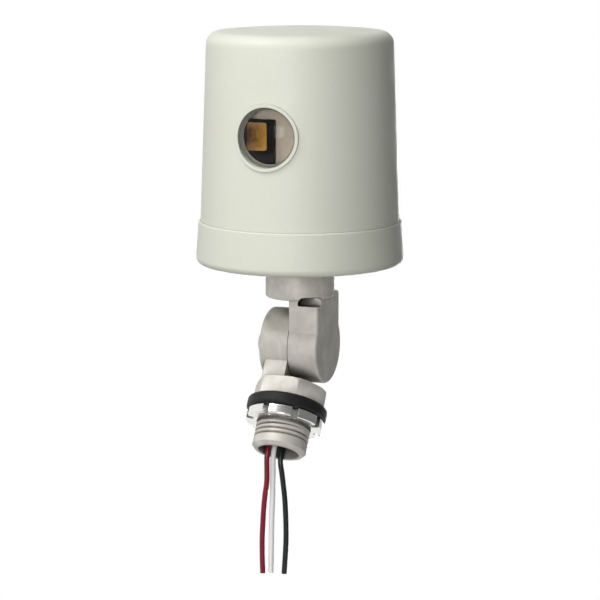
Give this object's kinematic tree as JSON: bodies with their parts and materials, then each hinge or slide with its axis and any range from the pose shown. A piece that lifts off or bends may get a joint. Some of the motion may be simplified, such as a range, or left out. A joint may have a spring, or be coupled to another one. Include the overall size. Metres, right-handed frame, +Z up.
{
  "type": "photocell switch",
  "caption": "Photocell switch for outdoor lighting: round drafted housing with a window for the light cell, on a clamped swivel above a threaded conduit nipple with its leads.",
  "frame": {"origin": "on the nipple's axis, at the top of the thread left free under the locknut", "axes": "+X along the swivel screw towards the housing's cheek, -Y out of the window, +Z up the housing's axis"},
  "size_m": [0.0798, 0.0798, 0.2094],
  "materials": {
    "housing": "moulded, fine satin grain",
    "die_cast": "die cast, satin",
    "bright_metal": "bright zinc",
    "steel": "zinc plated",
    "rubber": "matt",
    "lens": "clear, slightly tinted",
    "black_plastic": "moulded, satin",
    "fibre": "pressed fibre",
    "cell": "lacquered",
    "phenolic": "laminated board",
    "brass": "stamped",
    "bimetal": "rolled strip",
    "silver": "worn contact face",
    "ceramic": "fired, matt",
    "surge_blue": "dipped coating",
    "tinned_wire": "tinned",
    "insulation_black": "extruded",
    "insulation_red": "extruded",
    "insulation_white": "extruded"
  },
  "bodies": {
    "stem": {"swivel_stem_arm": "die_cast", "swivel_washer": "steel", "swivel_seal": "rubber", "mounting_gasket": "rubber", "conduit_locknut": "bright_metal", "lead_black": "insulation_black", "lead_red": "insulation_red", "lead_white": "insulation_white"},
    "head": {"cover": "housing", "base": "housing", "cover_seal": "rubber", "window_lens": "lens", "cell_holder": "fibre", "cell_case": "black_plastic", "photocell": "cell", "cell_leads": "tinned_wire", "switch_plate": "phenolic", "plate_screws": "steel", "line_terminal": "brass", "load_terminal": "brass", "neutral_terminal": "brass", "terminal_rivets": "brass", "compensating_blade": "bimetal", "fixed_contact": "silver", "calibration_screw": "steel", "heater_resistor": "ceramic", "surge_disc": "surge_blue", "inner_lead_black": "insulation_black", "inner_lead_red": "insulation_red", "inner_lead_white": "insulation_white", "swivel_head_arm": "die_cast", "neck_seal": "rubber", "neck_nut": "steel", "swivel_screw": "steel"},
    "blade": {"bimetal_blade": "bimetal", "moving_contact": "silver"}
  },
  "joints": [
    {"name": "swivel", "type": "hinge", "parent": "stem", "child": "head", "pos_m": [0, 0.01839, 0.02943], "axis": [1, 0, 0], "range_deg": [-122, 58]},
    {"name": "blade_flex", "type": "hinge", "parent": "head", "child": "blade", "pos_m": [0.0025, 0.03239, 0.07843], "axis": [0, 1, 0], "range_deg": [0, 4], "stiffness_Nm_per_rad": 0.01, "springref_deg": -11.46}
  ]
}
